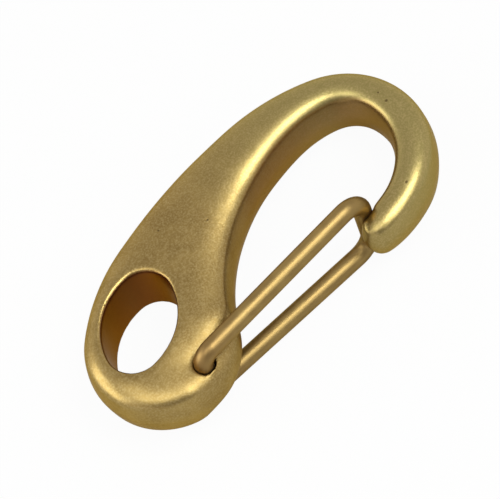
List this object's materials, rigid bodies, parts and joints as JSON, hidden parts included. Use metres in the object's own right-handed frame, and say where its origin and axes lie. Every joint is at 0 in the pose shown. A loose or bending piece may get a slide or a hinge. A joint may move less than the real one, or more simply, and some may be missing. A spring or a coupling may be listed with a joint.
{
  "type": "eye snap hook",
  "caption": "Cast snap hook with a tilted oval eye for rope or strap and a round hook, closed by a sprung wire gate that swings inwards.",
  "frame": {"origin": "the middle of the hook's overall box, half way through its thickness, with the hook lying on its side", "axes": "+X from the eye to the hook's bend, along the hook; the mouth and its gate are on the -Y side; +Z through the thickness, up"},
  "size_m": [0.0494, 0.0242, 0.0128],
  "materials": {
    "casting": "matte gold plating over a fine sand-blasted casting",
    "gate_wire": "satin gold plating on drawn wire"
  },
  "bodies": {
    "hook": {"body": "casting"},
    "gate": {"wire_gate": "gate_wire"}
  },
  "joints": [
    {"name": "gate_pivot", "type": "hinge", "parent": "hook", "child": "gate", "pos_m": [-0.01491, -0.00677, 0], "axis": [0, 0, 1], "range_deg": [0, 20], "stiffness_Nm_per_rad": 0.1, "springref_deg": -14.32}
  ]
}
